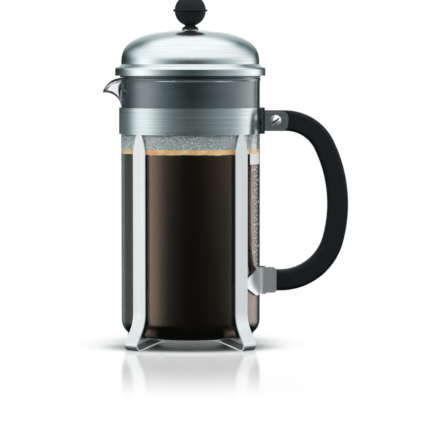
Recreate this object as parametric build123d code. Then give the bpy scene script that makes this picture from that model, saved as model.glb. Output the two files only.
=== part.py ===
from build123d import *
import os
from math import atan2, cos, degrees, hypot, radians, sin, sqrt

# French press, 8 cup: a glass beaker in a stainless frame, a domed lid and a plunger. Millimetres.
# Origin: on the table, under the beaker's axis. +Z is up, the handle is on +X, the pouring lip on -X.

os.makedirs("parts", exist_ok=True)

# Glass beaker
GLASS_OD = 96.0
GLASS_WALL = 2.0
GLASS_FLOOR = 2.4
GLASS_HEIGHT = 177.6
GLASS_CORNER_R = 11.0
RIM_BEAD_R = 1.35
RIM_BEAD_PROUD = 0.5
LIP_REACH = 12.6
LIP_TIP_HALF_WIDTH = 3.2
LIP_ROOT_DROP = 19.5
LIP_TIP_DROP = 8.8
LIP_TIP_THICK = 1.5
LIP_TIP_CHANNEL = 0.25
LIP_ROOT_DEPTH = 6.0
LIP_OVERCUT = 2.0

# Frame: sheet parts
SHEET = 0.8
FRAME_CLEAR = 0.25
COLLAR_HEIGHT = 17.9
COLLAR_BELOW_RIM = 38.5
EAR_REACH = 19.2
EAR_MARGIN = 0.5
EAR_CORNER_R = 4.0
EAR_BEND_R = 3.5
PLATE_UNDERSIDE_Z = 5.6
PLATE_THICK = 1.0
PLATE_SETBACK = 10.3
PLATE_CORNER_SPARE = 0.2
LEG_ANGLE = 45.0
LEG_WIDTH = 11.6
LEG_NECK_WIDTH = 4.8
LEG_NECK_LENGTH = 11.5
LEG_NECK_BULGE = 0.35
LEG_LAP = 9.8
LEG_KNEE_R = 25.0
LEG_FLARE_ANGLE = 31.4
LEG_RAMP_ANGLE = 13.5
LEG_RAMP_BEND_R = 5.0
TOE_REACH = 5.5
TOE_BEND_R = 3.3
TOE_FLAT_DEPTH = 0.12
ARM_NECK_HEIGHT = 6.0
ARM_CLIP_MARGIN = 2.05
ARM_END_MARGIN = 1.25
ARM_FLARE_END_ANGLE = 21.5
ARM_STEP_REACH = 4.0
ARM_TIP_REACH = 11.2
ARM_CORNER_R = 2.2

# Handle and its fastener
HANDLE_DEPTH = 14.1
HANDLE_TONGUE = 13.0
HANDLE_EDGE_R = 2.6
HANDLE_ROOT_GAP = 1.6
HANDLE_TOP_BEND_REACH = 17.3
HANDLE_FOOT_BEND_REACH = 13.8
HANDLE_FOOT_Z = 44.6
HANDLE_TOP_R = 29.9
HANDLE_GRIP_R = 93.2
HANDLE_FOOT_R = 37.9
BOLT_D = 4.0
BOLT_REACH = 10.5
BOLT_HEAD_D = 7.8
BOLT_HEAD_HEIGHT = 2.2
BOLT_SLOT_WIDTH = 1.0
BOLT_SLOT_DEPTH = 0.9
BOLT_SLOT_TURN = 37.0
BOLT_NUT_FLATS = 7.0
BOLT_NUT_HEIGHT = 3.2
BOLT_END_PROUD = 0.8

# Lid
LID_SEAT_GAP = 0.1
LID_SHEET = 0.8
LID_OVERHANG = 3.7
LID_RIM_HEIGHT = 6.2
LID_RIM_ROUND = 2.2
LID_RIM_LIFT = 1.2
DOME_SETBACK = 4.2
DOME_BASE_RISE = 1.6
DOME_HEIGHT = 23.0
DOME_POWER = 2.7
DOME_LAND_MARGIN = 2.5
LINER_WALL = 1.5
LINER_FLANGE_PROUD = 0.3
LINER_SKIRT_FIT = 1.0
LINER_SKIRT_DROP = 24.2
STRAINER_SLOTS = 7
STRAINER_SLOT_WIDTH = 1.6
STRAINER_SLOT_HEIGHT = 13.0
STRAINER_SLOT_STEP = 5.5
BUSH_WALL = 1.35
BUSH_FLANGE_WIDTH = 1.6
BUSH_FLANGE_THICK = 0.6
BUSH_END_PROUD = 1.0
BUSH_NUT_WALL = 2.1
BUSH_NUT_HEIGHT = 3.0

# Plunger
ROD_D = 5.0
ROD_SHOULDER = 0.5
ROD_CLEAR = 0.05
KNOB_D = 21.4
KNOB_BEAD_PROUD = 1.1
KNOB_BEAD_THICK = 1.6
KNOB_NECK_WALL = 1.6
KNOB_NECK_HEIGHT = 3.2
KNOB_NECK_STRAIGHT = 0.4
KNOB_FOOT_WIDTH = 2.0
KNOB_FOOT_HEIGHT = 1.2
INSERT_WALL = 1.0
INSERT_LENGTH = 10.0
INSERT_ABOVE_CENTRE = 2.0
SPIGOT_END_GAP = 1.0
FILTER_STANDOFF = 10.0
FILTER_FIT = 0.3
FILTER_NUT_WALL = 2.0
FILTER_NUT_HEIGHT = 3.0
FILTER_PLATE_THICK = 0.8
SPIRAL_PLATE_INSET = 1.0
CROSS_PLATE_INSET = 2.0
SIEVE_HOLE_D = 3.6
SIEVE_RING_STEP = 12.2
SIEVE_RING_COUNT = 8
CROSS_HOLE_D = 10.0
CROSS_RING_STEP = 17.5
CROSS_RING_COUNT = 6
HOLE_EDGE_MARGIN = 1.0
MESH_THICK = 0.3
MESH_EDGE_HEIGHT = 4.2
SPRING_COIL_D = 2.6
SPRING_GAP = 0.1
HUB_WALL = 3.5
HUB_HEIGHT = 10.0
HUB_TOP_ROUND = 2.0

# Running fits and loose fits in assembled parts
HOLE_CLEAR = 0.15
THREAD_CLEAR = 0.03

# Levels and radii that follow
GLASS_R = GLASS_OD / 2
GLASS_IN_R = GLASS_R - GLASS_WALL
SEAT_Z = PLATE_UNDERSIDE_Z + PLATE_THICK
FLOOR_Z = SEAT_Z + GLASS_FLOOR
RIM_Z = SEAT_Z + GLASS_HEIGHT
SHEET_IN_R = GLASS_R + FRAME_CLEAR
SHEET_MID_R = SHEET_IN_R + SHEET / 2
COLLAR_Z = RIM_Z - COLLAR_BELOW_RIM
TOE_R = GLASS_R + TOE_REACH
EAR_TIP_X = GLASS_R + EAR_REACH
EAR_HEIGHT = HANDLE_DEPTH - 2 * EAR_MARGIN
ARM_STEP_X = GLASS_R + ARM_STEP_REACH
ARM_TIP_X = GLASS_R + ARM_TIP_REACH
ARM_CLIP_HEIGHT = HANDLE_DEPTH + 2 * ARM_CLIP_MARGIN
ARM_END_HEIGHT = HANDLE_DEPTH + 2 * ARM_END_MARGIN
PLATE_SIDE = 2 * (GLASS_R - GLASS_CORNER_R - PLATE_SETBACK)
PLATE_CHAMFER = LEG_WIDTH / sqrt(2) + PLATE_CORNER_SPARE
LEG_LAP_R = (PLATE_SIDE - PLATE_CHAMFER) / sqrt(2) - LEG_LAP
HANDLE_TOP_Z = COLLAR_Z + COLLAR_HEIGHT / 2
HANDLE_ROOT_X = GLASS_R + HANDLE_ROOT_GAP
HANDLE_TOP_BEND_X = GLASS_R + HANDLE_TOP_BEND_REACH
HANDLE_FOOT_BEND_X = GLASS_R + HANDLE_FOOT_BEND_REACH
BOLT_X = GLASS_R + BOLT_REACH
HANDLE_WIDTH = HANDLE_TONGUE + 2 * SHEET
EAR_MID_Y = (HANDLE_TONGUE + SHEET) / 2
LINER_Z = RIM_Z + LID_SEAT_GAP
LINER_TOP_Z = LINER_Z + LINER_WALL
LINER_FLANGE_R = GLASS_R + LINER_FLANGE_PROUD
LINER_SKIRT_R = GLASS_IN_R - LINER_SKIRT_FIT
LID_RIM_R = GLASS_R + LID_OVERHANG
LID_RIM_Z = LINER_Z + LID_RIM_LIFT
LID_RIM_TOP_Z = LID_RIM_Z + LID_RIM_HEIGHT
DOME_BASE_R = LID_RIM_R - DOME_SETBACK
DOME_BASE_Z = LID_RIM_TOP_Z + DOME_BASE_RISE
DOME_TOP_Z = DOME_BASE_Z + DOME_HEIGHT
BUSH_OD = ROD_D + 2 * (ROD_CLEAR + BUSH_WALL)
BUSH_FLANGE_D = BUSH_OD + 2 * BUSH_FLANGE_WIDTH
BUSH_NUT_FLATS = BUSH_OD + 2 * BUSH_NUT_WALL
DOME_LAND_R = BUSH_FLANGE_D / 2 + DOME_LAND_MARGIN
ROD_SPIGOT_D = ROD_D - 2 * ROD_SHOULDER
KNOB_Z = DOME_TOP_Z + BUSH_FLANGE_THICK
KNOB_NECK_D = ROD_SPIGOT_D + 2 * KNOB_NECK_WALL
KNOB_FOOT_D = KNOB_NECK_D + 2 * KNOB_FOOT_WIDTH
INSERT_OD = ROD_SPIGOT_D + 2 * INSERT_WALL
FILTER_R = GLASS_IN_R - FILTER_FIT
FILTER_NUT_Z = FLOOR_Z + FILTER_STANDOFF
CROSS_PLATE_Z = FILTER_NUT_Z + FILTER_NUT_HEIGHT
MESH_Z = CROSS_PLATE_Z + FILTER_PLATE_THICK
SPIRAL_PLATE_Z = MESH_Z + MESH_THICK
HUB_Z = SPIRAL_PLATE_Z + FILTER_PLATE_THICK
HUB_OD = ROD_D + 2 * HUB_WALL
FILTER_NUT_FLATS = ROD_D + 2 * FILTER_NUT_WALL


def disc(radius, low, high):
    """Cylinder on the Z axis between two levels."""
    return Pos(0, 0, low) * Cylinder(radius, high - low, align=(Align.CENTER, Align.CENTER, Align.MIN))


def tube(outer, inner, low, high):
    """Ring on the Z axis between two levels."""
    return disc(outer, low, high) - disc(inner, low, high)


def spun(*edges):
    """Solid of revolution about Z from edges drawn with x as radius and y as height."""
    return revolve(make_face(Plane.XZ * Curve(list(edges))), Axis.Z)


def on_circle(radius, angle):
    """Plan point at a radius and an angle from +X."""
    return (radius * cos(radians(angle)), radius * sin(radians(angle)))


def hex_nut(flats, low, high, bore):
    """Hexagonal nut on the Z axis."""
    blank = extrude(RegularPolygon(flats / 2, 6, major_radius=False), high - low)
    return Pos(0, 0, low) * blank - disc(bore / 2, low, high)


def ring_holes(step, hole_d, count, reach, low, high):
    """Rings of round holes about Z, each ring a step wider, with more holes, as far as the reach."""
    holes = []
    rings = int((reach - hole_d / 2 - HOLE_EDGE_MARGIN) / step)
    for ring in range(1, rings + 1):
        drill = Pos(ring * step, 0, 0) * disc(hole_d / 2, low, high)
        number = count * ring
        holes += [Rot(0, 0, 360 * k / number) * drill for k in range(number)]
    return holes


# Glass beaker --------------------------------------------------------------------------------------


def lip_sections(inner):
    """Cross sections of the pouring lip from its root inside the wall out to its tip.

    Each one is an arc hung between the two lip edges. The inner set is smaller by the glass wall
    and runs up past the rim, so that it opens the channel.
    """
    tip_x = GLASS_R + LIP_REACH
    # distance back from the tip, drop of the lip's edge below the rim, drop of its underside
    stations = (
        (LIP_REACH + LIP_ROOT_DEPTH, 0.0, LIP_ROOT_DROP + 2.2),
        (LIP_REACH - 1.0, 0.4, LIP_ROOT_DROP - 3.9),
        (LIP_REACH - 5.0, 2.6, LIP_ROOT_DROP - 8.8),
        (LIP_REACH - 8.6, 5.0, LIP_ROOT_DROP - 11.1),
        (0.0, LIP_TIP_DROP, LIP_TIP_DROP + LIP_TIP_THICK),
    )
    faces = []
    for back, edge_drop, under_drop in stations:
        half = LIP_TIP_HALF_WIDTH + back
        edge_z = RIM_Z - edge_drop
        under_z = RIM_Z - under_drop
        if inner:
            half = max(half - GLASS_WALL, LIP_TIP_HALF_WIDTH / 2)
            under_z = min(under_z + GLASS_WALL, edge_z - LIP_TIP_CHANNEL)
            top_z = RIM_Z + LIP_OVERCUT
            rails = Polyline((half, edge_z), (half, top_z), (-half, top_z), (-half, edge_z))
        else:
            rails = Line((half, edge_z), (-half, edge_z))
        hang = ThreePointArc((-half, edge_z), (0, under_z), (half, edge_z))
        x = -(tip_x - back)
        if inner and back == 0.0:
            x -= LIP_OVERCUT
        elif inner and back > LIP_REACH:
            x += LIP_OVERCUT
        plane = Plane(origin=(x, 0, 0), x_dir=(0, 1, 0), z_dir=(1, 0, 0))
        faces.append(plane * make_face(Curve([hang, rails])))
    return faces


def make_glass_beaker():
    body = disc(GLASS_R, SEAT_Z, RIM_Z - RIM_BEAD_R)
    foot = body.edges().filter_by(GeomType.CIRCLE).sort_by(Axis.Z)[0]
    body = fillet(foot, GLASS_CORNER_R)
    bead_r = GLASS_R + RIM_BEAD_PROUD - RIM_BEAD_R
    body += Pos(0, 0, RIM_Z - RIM_BEAD_R) * Torus(bead_r, RIM_BEAD_R)
    body += loft(lip_sections(False), ruled=True)
    hollow = disc(GLASS_IN_R, FLOOR_Z, RIM_Z + LIP_OVERCUT)
    foot = hollow.edges().filter_by(GeomType.CIRCLE).sort_by(Axis.Z)[0]
    hollow = fillet(foot, GLASS_CORNER_R - GLASS_WALL)
    return body - hollow - loft(lip_sections(True), ruled=True)


# Frame ---------------------------------------------------------------------------------------------


def strap_bend(bend_r):
    """Plan points where a strap leaves the glass, is half way round its bend, and runs straight out."""
    centre_y = EAR_MID_Y + bend_r
    centre_x = sqrt((SHEET_MID_R + bend_r) ** 2 - centre_y**2)
    share = SHEET_MID_R / (SHEET_MID_R + bend_r)
    leave = (centre_x * share, centre_y * share)
    straight = (centre_x, EAR_MID_Y)
    middle_x = (leave[0] + straight[0]) / 2 - centre_x
    middle_y = (leave[1] + straight[1]) / 2 - centre_y
    reach = bend_r / hypot(middle_x, middle_y)
    middle = (centre_x + middle_x * reach, centre_y + middle_y * reach)
    return leave, middle, straight


def flip(point):
    """The same plan point on the near side of the handle."""
    return (point[0], -point[1])


def make_collar_band():
    leave, middle, straight = strap_bend(EAR_BEND_R)
    tip = (EAR_TIP_X, EAR_MID_Y)
    route = Curve(
        [
            Line(flip(tip), flip(straight)),
            ThreePointArc(flip(straight), flip(middle), flip(leave)),
            ThreePointArc(flip(leave), (-SHEET_MID_R, 0), leave),
            ThreePointArc(leave, middle, straight),
            Line(straight, tip),
        ]
    )
    strap = Pos(0, 0, COLLAR_Z) * extrude(trace(route, line_width=SHEET), COLLAR_HEIGHT)
    girth = 4 * GLASS_OD
    around = Pos(straight[0] - girth / 2, 0, HANDLE_TOP_Z) * Box(girth, girth, COLLAR_HEIGHT)
    ear_start = straight[0] - EAR_CORNER_R * 2
    ear_length = EAR_TIP_X - ear_start
    ear = extrude(
        Plane.XZ
        * Pos(ear_start + ear_length / 2, HANDLE_TOP_Z)
        * RectangleRounded(ear_length, EAR_HEIGHT, EAR_CORNER_R),
        HANDLE_WIDTH,
        both=True,
    )
    strap &= around + ear
    drill = Pos(BOLT_X, 0, HANDLE_TOP_Z) * Rot(90, 0, 0)
    return strap - drill * Cylinder(BOLT_D / 2 + HOLE_CLEAR, 2 * HANDLE_WIDTH)


def make_base_plate():
    plate = extrude(Rectangle(PLATE_SIDE, PLATE_SIDE), PLATE_THICK)
    corners = plate.edges().filter_by(Axis.Z)
    plate = chamfer(corners, PLATE_CHAMFER)
    return Pos(0, 0, PLATE_UNDERSIDE_Z) * plate


def leg_strip():
    """One plain leg on the +X side: down the glass, out at the knee, round the toe, in under the plate."""
    toe_z = TOE_BEND_R + SHEET / 2 - TOE_FLAT_DEPTH
    flare = radians(LEG_FLARE_ANGLE)
    ramp = radians(LEG_RAMP_ANGLE)
    out_x, out_z = cos(flare), sin(flare)
    in_x, in_z = -sin(ramp), -cos(ramp)
    touch = (TOE_R + TOE_BEND_R * out_x, toe_z + TOE_BEND_R * out_z)
    knee_z = touch[1] + (touch[0] - SHEET_MID_R) * out_x / out_z
    lap_z = PLATE_UNDERSIDE_Z - SHEET / 2
    land = (TOE_R + TOE_BEND_R * in_x, toe_z + TOE_BEND_R * in_z)
    lap_x = land[0] - (lap_z - land[1]) * cos(ramp) / sin(ramp)
    bisect = (out_x + in_x, out_z + in_z)
    corner_reach = TOE_BEND_R / (hypot(*bisect) / 2) / hypot(*bisect)
    toe_corner = (TOE_R + bisect[0] * corner_reach, toe_z + bisect[1] * corner_reach)
    route = FilletPolyline(
        (SHEET_MID_R, COLLAR_Z),
        (SHEET_MID_R, knee_z),
        toe_corner,
        (lap_x, lap_z),
        (LEG_LAP_R, lap_z),
        radius=[LEG_KNEE_R, TOE_BEND_R, LEG_RAMP_BEND_R],
    )
    strip = extrude(Plane.XZ * trace(route, line_width=SHEET), LEG_WIDTH / 2, both=True)
    neck = LEG_NECK_WIDTH / 2
    edge = LEG_WIDTH / 2
    waist = (edge + neck) / 2 + LEG_NECK_BULGE
    shoulder_z = COLLAR_Z - LEG_NECK_LENGTH
    outline = make_face(
        Polyline(
            (-edge, 0),
            (edge, 0),
            (edge, shoulder_z),
            (waist, COLLAR_Z - LEG_NECK_LENGTH / 2),
            (neck, COLLAR_Z),
            (-neck, COLLAR_Z),
            (-waist, COLLAR_Z - LEG_NECK_LENGTH / 2),
            (-edge, shoulder_z),
            close=True,
        )
    )
    return strip & extrude(Plane.YZ * outline, TOE_R + 3 * TOE_BEND_R)


def clip_arm():
    """Sheet arm from the near right leg round the glass, flared and turned out beside the handle."""
    leave, middle, straight = strap_bend(EAR_BEND_R)
    start = on_circle(SHEET_MID_R, LEG_ANGLE)
    half_way = on_circle(SHEET_MID_R, (LEG_ANGLE + degrees(atan2(leave[1], leave[0]))) / 2)
    route = Curve(
        [
            ThreePointArc(flip(start), flip(half_way), flip(leave)),
            ThreePointArc(flip(leave), flip(middle), flip(straight)),
            Line(flip(straight), (ARM_TIP_X, -EAR_MID_Y)),
        ]
    )
    sheet = extrude(trace(route, line_width=SHEET), HANDLE_FOOT_Z + ARM_CLIP_HEIGHT)
    edge_x = start[0] + LEG_WIDTH / 2 * sin(radians(LEG_ANGLE))
    flare_x = on_circle(SHEET_MID_R, ARM_FLARE_END_ANGLE)[0]
    neck = ARM_NECK_HEIGHT / 2
    clip = ARM_CLIP_HEIGHT / 2
    upper = ((edge_x, neck), (flare_x, clip), (ARM_STEP_X, clip))
    lower = [(x, -z) for x, z in reversed(upper)]
    fan = make_face(Polyline((start[0], neck), *upper, *lower, (start[0], -neck), close=True))
    cheek_start = ARM_STEP_X - 2 * ARM_CORNER_R
    cheek_length = ARM_TIP_X - cheek_start
    cheek = Pos(cheek_start + cheek_length / 2, 0)
    cheek *= RectangleRounded(cheek_length, ARM_END_HEIGHT, ARM_CORNER_R)
    outline = Plane.XZ * Pos(0, HANDLE_FOOT_Z) * (fan + cheek)
    return sheet & extrude(outline, GLASS_OD)


def make_legs():
    strip = leg_strip()
    legs = {
        "leg_rear_right": Rot(0, 0, LEG_ANGLE) * strip,
        "leg_rear_left": Rot(0, 0, 180 - LEG_ANGLE) * strip,
        "leg_front_left": Rot(0, 0, 180 + LEG_ANGLE) * strip,
    }
    legs["leg_front_right"] = Rot(0, 0, -LEG_ANGLE) * strip + clip_arm()
    legs["leg_rear_right"] += mirror(clip_arm(), Plane.XZ)
    return legs


# Handle --------------------------------------------------------------------------------------------


def handle_route():
    """Middle line of the handle in the plane of x and z: straight, three tangent arcs, straight."""
    top = Vector(HANDLE_TOP_BEND_X, HANDLE_TOP_Z - HANDLE_TOP_R)
    foot = Vector(HANDLE_FOOT_BEND_X, HANDLE_FOOT_Z + HANDLE_FOOT_R)
    to_top = HANDLE_GRIP_R - HANDLE_TOP_R
    to_foot = HANDLE_GRIP_R - HANDLE_FOOT_R
    span = (top - foot).length
    along = (to_foot**2 - to_top**2 + span**2) / (2 * span)
    off = sqrt(to_foot**2 - along**2)
    unit = (top - foot) / span
    grip = foot + unit * along + Vector(-unit.Y, unit.X) * off
    to_arc_top = (top - grip).normalized()
    to_arc_foot = (foot - grip).normalized()
    high = grip + to_arc_top * HANDLE_GRIP_R
    low = grip + to_arc_foot * HANDLE_GRIP_R
    high_middle = top + (to_arc_top + Vector(0, 1)).normalized() * HANDLE_TOP_R
    grip_middle = grip + (to_arc_top + to_arc_foot).normalized() * HANDLE_GRIP_R
    low_middle = foot + (to_arc_foot + Vector(0, -1)).normalized() * HANDLE_FOOT_R
    top_start = Vector(HANDLE_TOP_BEND_X, HANDLE_TOP_Z)
    foot_start = Vector(HANDLE_FOOT_BEND_X, HANDLE_FOOT_Z)
    return Curve(
        [
            Line(Vector(HANDLE_ROOT_X, HANDLE_TOP_Z), top_start),
            ThreePointArc(top_start, high_middle, high),
            ThreePointArc(high, grip_middle, low),
            ThreePointArc(low, low_middle, foot_start),
            Line(foot_start, Vector(HANDLE_ROOT_X, HANDLE_FOOT_Z)),
        ]
    )


def make_handle():
    blank = Plane.XZ * trace(handle_route(), line_width=HANDLE_DEPTH)
    grip = extrude(blank, HANDLE_WIDTH / 2, both=True)
    sides = grip.faces().filter_by(Axis.Y)
    grip = fillet(sides.edges(), HANDLE_EDGE_R)
    ear_pocket = Plane.XZ * Pos((EAR_TIP_X + HOLE_CLEAR) / 2, HANDLE_TOP_Z)
    ear_pocket *= RectangleRounded(
        EAR_TIP_X + HOLE_CLEAR, HANDLE_DEPTH + 2 * EAR_CORNER_R, EAR_CORNER_R
    )
    cheek_pocket = Plane.XZ * Pos((ARM_TIP_X + HOLE_CLEAR) / 2, HANDLE_FOOT_Z)
    cheek_pocket *= Rectangle(ARM_TIP_X + HOLE_CLEAR, HANDLE_DEPTH + 2 * ARM_CORNER_R)
    pockets = extrude(ear_pocket, HANDLE_WIDTH, both=True)
    pockets += extrude(cheek_pocket, HANDLE_WIDTH, both=True)
    pockets -= Box(4 * EAR_TIP_X, HANDLE_TONGUE, 4 * RIM_Z)
    drill = Pos(BOLT_X, 0, HANDLE_TOP_Z) * Rot(90, 0, 0)
    return grip - pockets - drill * Cylinder(BOLT_D / 2 + HOLE_CLEAR, 2 * HANDLE_WIDTH)


def make_handle_bolt():
    face_y = EAR_MID_Y + SHEET / 2
    length = 2 * face_y + BOLT_NUT_HEIGHT + BOLT_END_PROUD
    radius = BOLT_HEAD_D / 2
    ball = (radius**2 + BOLT_HEAD_HEIGHT**2) / (2 * BOLT_HEAD_HEIGHT)
    head = Pos(0, 0, BOLT_HEAD_HEIGHT - ball) * Sphere(ball)
    head &= Pos(0, 0, BOLT_HEAD_HEIGHT / 2) * Box(2 * ball, 2 * ball, BOLT_HEAD_HEIGHT)
    slot = Pos(0, 0, BOLT_HEAD_HEIGHT) * Box(BOLT_HEAD_D, BOLT_SLOT_WIDTH, 2 * BOLT_SLOT_DEPTH)
    head -= Rot(0, 0, BOLT_SLOT_TURN) * slot
    shank = Pos(0, 0, -length / 2) * Cylinder(BOLT_D / 2, length)
    near = Plane(origin=(BOLT_X, -face_y, HANDLE_TOP_Z), x_dir=(1, 0, 0), z_dir=(0, -1, 0))
    return near * (head + shank)


def make_handle_nut():
    face_y = EAR_MID_Y + SHEET / 2
    far = Plane(origin=(BOLT_X, face_y, HANDLE_TOP_Z), x_dir=(1, 0, 0), z_dir=(0, 1, 0))
    return far * hex_nut(BOLT_NUT_FLATS, 0, BOLT_NUT_HEIGHT, BOLT_D + 2 * THREAD_CLEAR)


# Lid -----------------------------------------------------------------------------------------------


def dome_curve(inset):
    """Superellipse from the dome's base up to its flat land, moved in by the sheet's thickness."""
    radius = DOME_BASE_R - inset
    height = DOME_HEIGHT - inset
    steps = 10
    points = []
    for k in range(steps):
        across = radius * (1 - ((radius - DOME_LAND_R) / radius * (k / steps) ** 2))
        rise = height * (1 - (across / radius) ** DOME_POWER) ** (1 / DOME_POWER)
        points.append((across, DOME_BASE_Z + rise))
    points.append((DOME_LAND_R, DOME_BASE_Z + height))
    return Spline(*points, tangents=((0, 1), (-1, 0)))


def make_lid_dome():
    rim_r = LID_RIM_R
    base_r = DOME_BASE_R
    land = DOME_LAND_R
    shoulder = (rim_r - LID_RIM_ROUND, LID_RIM_TOP_Z)
    outer = dome_curve(0)
    shell = spun(
        outer,
        Polyline((land, DOME_TOP_Z), (0, DOME_TOP_Z), (0, LID_RIM_Z), (rim_r, LID_RIM_Z)),
        Line((rim_r, LID_RIM_Z), (rim_r, LID_RIM_TOP_Z - LID_RIM_ROUND)),
        RadiusArc((rim_r, LID_RIM_TOP_Z - LID_RIM_ROUND), shoulder, -LID_RIM_ROUND),
        Line(shoulder, (base_r, DOME_BASE_Z)),
    )
    in_r = rim_r - LID_SHEET
    in_round = LID_RIM_ROUND - LID_SHEET
    ledge_z = LID_RIM_TOP_Z - LID_SHEET
    in_base = base_r - LID_SHEET
    in_top = DOME_TOP_Z - LID_SHEET
    hollow = spun(
        dome_curve(LID_SHEET),
        Polyline((land, in_top), (0, in_top), (0, LID_RIM_Z), (in_r, LID_RIM_Z)),
        Line((in_r, LID_RIM_Z), (in_r, ledge_z - in_round)),
        RadiusArc((in_r, ledge_z - in_round), (in_r - in_round, ledge_z), -in_round),
        Polyline((in_r - in_round, ledge_z), (in_base, ledge_z), (in_base, DOME_BASE_Z)),
    )
    hole = disc(BUSH_OD / 2 + ROD_CLEAR, DOME_TOP_Z - 2 * LID_SHEET, DOME_TOP_Z + LID_SHEET)
    return shell - hollow - hole


def make_lid_liner():
    flange_r = LINER_FLANGE_R
    ledge_z = LID_RIM_TOP_Z - LID_SHEET
    skirt_low = RIM_Z - LINER_SKIRT_DROP
    liner = disc(flange_r, LINER_Z, LINER_TOP_Z)
    liner += tube(flange_r, flange_r - LINER_WALL, LINER_Z, ledge_z)
    liner += tube(LINER_SKIRT_R, LINER_SKIRT_R - LINER_WALL, skirt_low, LINER_TOP_Z)
    slot_z = LINER_Z - LINER_WALL - STRAINER_SLOT_HEIGHT / 2
    cutter = Pos(-LINER_SKIRT_R, 0, slot_z)
    cutter *= Box(4 * LINER_WALL, STRAINER_SLOT_WIDTH, STRAINER_SLOT_HEIGHT)
    for k in range(STRAINER_SLOTS):
        turn = (k - (STRAINER_SLOTS - 1) / 2) * STRAINER_SLOT_STEP
        liner -= Rot(0, 0, turn) * cutter
    return liner - disc(BUSH_OD / 2 + ROD_CLEAR, LINER_Z, LINER_TOP_Z)


def make_lid_bush():
    low = LINER_Z - BUSH_NUT_HEIGHT - BUSH_END_PROUD
    bush = disc(BUSH_OD / 2, low, DOME_TOP_Z)
    bush += disc(BUSH_FLANGE_D / 2, DOME_TOP_Z, KNOB_Z)
    return bush - disc(ROD_D / 2 + ROD_CLEAR, low, KNOB_Z)


def make_bush_nut():
    return hex_nut(BUSH_NUT_FLATS, LINER_Z - BUSH_NUT_HEIGHT, LINER_Z, BUSH_OD + 2 * THREAD_CLEAR)


# Plunger -------------------------------------------------------------------------------------------


def knob_levels():
    """Levels of the knob's neck end, the ball's centre, and the insert's lower end."""
    neck_z = KNOB_Z + KNOB_NECK_HEIGHT
    ball_z = neck_z + sqrt((KNOB_D / 2) ** 2 - (KNOB_NECK_D / 2) ** 2)
    return neck_z, ball_z, ball_z + INSERT_ABOVE_CENTRE - INSERT_LENGTH


def make_knob():
    neck_z, ball_z, insert_z = knob_levels()
    foot_top = KNOB_Z + KNOB_FOOT_HEIGHT
    foot = spun(
        Polyline((0, neck_z), (0, KNOB_Z), (KNOB_FOOT_D / 2, KNOB_Z), (KNOB_FOOT_D / 2, foot_top)),
        Line((KNOB_FOOT_D / 2, foot_top), (KNOB_NECK_D / 2, neck_z - KNOB_NECK_STRAIGHT)),
        Line((KNOB_NECK_D / 2, neck_z - KNOB_NECK_STRAIGHT), (KNOB_NECK_D / 2, neck_z)),
        Line((KNOB_NECK_D / 2, neck_z), (0, neck_z)),
    )
    ball = Pos(0, 0, ball_z) * Sphere(KNOB_D / 2)
    bead_r = (KNOB_D - KNOB_BEAD_THICK) / 2 + KNOB_BEAD_PROUD
    bead = Pos(0, 0, ball_z) * Torus(bead_r, KNOB_BEAD_THICK / 2)
    bead += disc(bead_r, ball_z - KNOB_BEAD_THICK / 2, ball_z + KNOB_BEAD_THICK / 2)
    knob = foot + ball + bead
    knob -= disc(ROD_SPIGOT_D / 2 + THREAD_CLEAR, KNOB_Z, insert_z)
    return knob - disc(INSERT_OD / 2, insert_z, insert_z + INSERT_LENGTH)


def make_knob_insert():
    insert_z = knob_levels()[2]
    bore = ROD_SPIGOT_D / 2 + THREAD_CLEAR
    return tube(INSERT_OD / 2, bore, insert_z, insert_z + INSERT_LENGTH)


def make_plunger_rod():
    insert_z = knob_levels()[2]
    rod = disc(ROD_D / 2, FILTER_NUT_Z, KNOB_Z)
    return rod + disc(ROD_SPIGOT_D / 2, KNOB_Z, insert_z + INSERT_LENGTH - SPIGOT_END_GAP)


def make_filter_hub():
    hub = disc(HUB_OD / 2, HUB_Z, HUB_Z + HUB_HEIGHT)
    top = hub.edges().filter_by(GeomType.CIRCLE).sort_by(Axis.Z)[-1]
    hub = fillet(top, HUB_TOP_ROUND)
    return hub - disc(ROD_D / 2 + THREAD_CLEAR, HUB_Z, HUB_Z + HUB_HEIGHT)


def make_spiral_plate():
    high = SPIRAL_PLATE_Z + FILTER_PLATE_THICK
    edge_r = FILTER_R - SPIRAL_PLATE_INSET
    plate = tube(edge_r, ROD_D / 2 + THREAD_CLEAR, SPIRAL_PLATE_Z, high)
    sieve = ring_holes(
        SIEVE_RING_STEP, SIEVE_HOLE_D, SIEVE_RING_COUNT, edge_r, SPIRAL_PLATE_Z, high
    )
    return plate - sieve


def make_edge_spring():
    coil_r = SPRING_COIL_D / 2
    ring_r = FILTER_R - MESH_THICK - coil_r - SPRING_GAP
    return Pos(0, 0, HUB_Z + coil_r + THREAD_CLEAR) * Torus(ring_r, coil_r)


def make_filter_mesh():
    mesh = disc(FILTER_R, MESH_Z, MESH_Z + MESH_EDGE_HEIGHT)
    mesh -= disc(FILTER_R - MESH_THICK, MESH_Z + MESH_THICK, MESH_Z + MESH_EDGE_HEIGHT)
    return mesh - disc(ROD_D / 2 + THREAD_CLEAR, MESH_Z, SPIRAL_PLATE_Z)


def make_cross_plate():
    edge_r = FILTER_R - CROSS_PLATE_INSET
    plate = tube(edge_r, ROD_D / 2 + THREAD_CLEAR, CROSS_PLATE_Z, MESH_Z)
    windows = ring_holes(
        CROSS_RING_STEP, CROSS_HOLE_D, CROSS_RING_COUNT, edge_r, CROSS_PLATE_Z, MESH_Z
    )
    return plate - windows


def make_filter_nut():
    return hex_nut(FILTER_NUT_FLATS, FILTER_NUT_Z, CROSS_PLATE_Z, ROD_D + 2 * THREAD_CLEAR)


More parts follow.
